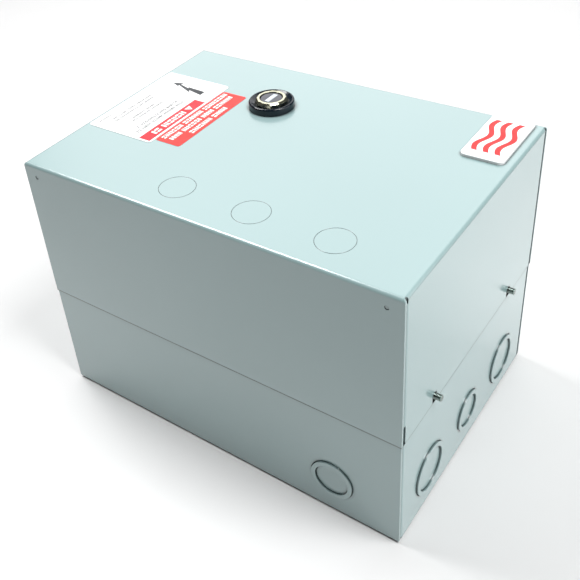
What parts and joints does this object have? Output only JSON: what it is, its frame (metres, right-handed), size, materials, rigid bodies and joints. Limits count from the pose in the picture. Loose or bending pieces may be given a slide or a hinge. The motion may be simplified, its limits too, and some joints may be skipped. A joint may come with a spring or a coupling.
{
  "type": "magnetic motor starter",
  "caption": "Sheet-steel enclosure with a lift-off cover, conduit knockouts and a reset push button, holding a magnetic contactor above a thermal overload relay.",
  "frame": {"origin": "centre of the enclosure's back face", "axes": "+X to the right seen from the front, +Y up the wall, +Z out of the wall through the cover"},
  "size_m": [0.1834, 0.2688, 0.1919],
  "materials": {
    "painted_steel": "semi-gloss light grey-blue enamel",
    "zinc_steel": "bright zinc plate",
    "galvanised_plate": "galvanised",
    "spring_steel": "drawn wire",
    "black_moulding": "moulded, fine texture",
    "dark_cover_moulding": "moulded, satin",
    "grey_moulding": "moulded, satin",
    "cream_moulding": "moulded, satin",
    "laminated_steel": "laminations, lightly oiled",
    "coil_wire": "enamelled copper under tape",
    "copper_strap": "copper, tinned in places",
    "bridge_alloy": "copper alloy with silver buttons",
    "heater_alloy": "resistance alloy",
    "bimetal_strip": "rolled strip",
    "chrome_bezel": "polished, slightly warm",
    "dark_button": "satin dark grey with a white bar",
    "white_label": "printed film",
    "red_label": "printed film",
    "white_badge": "printed plate",
    "blue_button": "moulded",
    "white_dial": "moulded"
  },
  "bodies": {
    "base": {"enclosure_base": "painted_steel", "hanging_stud_left": "zinc_steel", "hanging_stud_right": "zinc_steel", "cover_screw_left": "zinc_steel", "cover_screw_right": "zinc_steel", "clip_nut_left": "zinc_steel", "clip_nut_right": "zinc_steel", "mounting_plate": "galvanised_plate", "plate_screws": "zinc_steel", "ground_lug": "zinc_steel", "ground_screw": "zinc_steel", "contactor_base": "black_moulding", "contactor_housing": "black_moulding", "arc_cover": "dark_cover_moulding", "magnet_core": "laminated_steel", "coil_bobbin": "cream_moulding", "coil_winding": "coil_wire", "terminal_screws": "zinc_steel", "return_spring_left": "spring_steel", "return_spring_right": "spring_steel", "relay_housing": "black_moulding", "relay_cover": "grey_moulding", "relay_button_spring": "spring_steel", "control_contact_fixed": "bridge_alloy", "control_contact_blade": "bridge_alloy", "line_terminal_1": "copper_strap", "load_terminal_1": "copper_strap", "link_strap_1": "copper_strap", "heater_1": "heater_alloy", "bimetal_1": "bimetal_strip", "line_terminal_2": "copper_strap", "load_terminal_2": "copper_strap", "link_strap_2": "copper_strap", "heater_2": "heater_alloy", "bimetal_2": "bimetal_strip", "line_terminal_3": "copper_strap", "load_terminal_3": "copper_strap", "link_strap_3": "copper_strap", "heater_3": "heater_alloy", "bimetal_3": "bimetal_strip"},
    "cover": {"enclosure_cover": "painted_steel", "reset_collar": "black_moulding", "reset_bezel": "chrome_bezel", "reset_lock_nut": "zinc_steel", "danger_label": "white_label", "warning_label": "red_label", "badge_plate": "white_badge", "wiring_diagram": "white_label", "reset_spring": "spring_steel"},
    "reset_operator": {"reset_button": "dark_button"},
    "contact_carrier": {"contact_carrier": "cream_moulding", "magnet_armature": "laminated_steel", "contact_springs": "spring_steel", "bridge_contact_1": "bridge_alloy", "bridge_contact_2": "bridge_alloy", "bridge_contact_3": "bridge_alloy"},
    "relay_button": {"relay_button": "blue_button"},
    "trip_bar": {"trip_bar": "cream_moulding"},
    "trip_lever": {"trip_lever": "cream_moulding"},
    "current_dial": {"current_dial": "white_dial"}
  },
  "joints": [
    {"name": "cover_lift", "type": "slide", "parent": "base", "child": "cover", "axis": [0, 0, 1], "range_m": [0, 0.13]},
    {"name": "reset_press", "type": "slide", "parent": "cover", "child": "reset_operator", "axis": [0, 0, -1], "range_m": [0, 0.005], "stiffness_N_per_m": 400, "springref_m": -0.003, "deforming": ["reset_spring"]},
    {"name": "relay_reset", "type": "slide", "parent": "base", "child": "relay_button", "axis": [0, 0, -1], "range_m": [0, 0.005], "stiffness_N_per_m": 200, "springref_m": -0.002, "deforming": ["relay_button_spring"]},
    {"name": "contactor_pull_in", "type": "slide", "parent": "base", "child": "contact_carrier", "axis": [0, 0, -1], "range_m": [0, 0.0045], "stiffness_N_per_m": 1500, "springref_m": -0.004, "deforming": ["return_spring_left", "return_spring_right"]},
    {"name": "trip_slide", "type": "slide", "parent": "base", "child": "trip_bar", "axis": [1, 0, 0], "range_m": [0, 0.003], "stiffness_N_per_m": 150},
    {"name": "trip_lever_turn", "type": "hinge", "parent": "base", "child": "trip_lever", "pos_m": [0.014, -0.046, 0.0575], "axis": [0, 0, -1], "range_deg": [0, 10.5]},
    {"name": "current_setting", "type": "hinge", "parent": "base", "child": "current_dial", "pos_m": [-0.006, -0.04, 0.086], "axis": [0, 0, 1], "range_deg": [-120, 120]}
  ],
  "couplings": [
    {"joint": "relay_reset", "follows": "reset_press", "ratio": 1},
    {"joint": "trip_lever_turn", "follows": "trip_slide", "rad_per_m": 58}
  ]
}
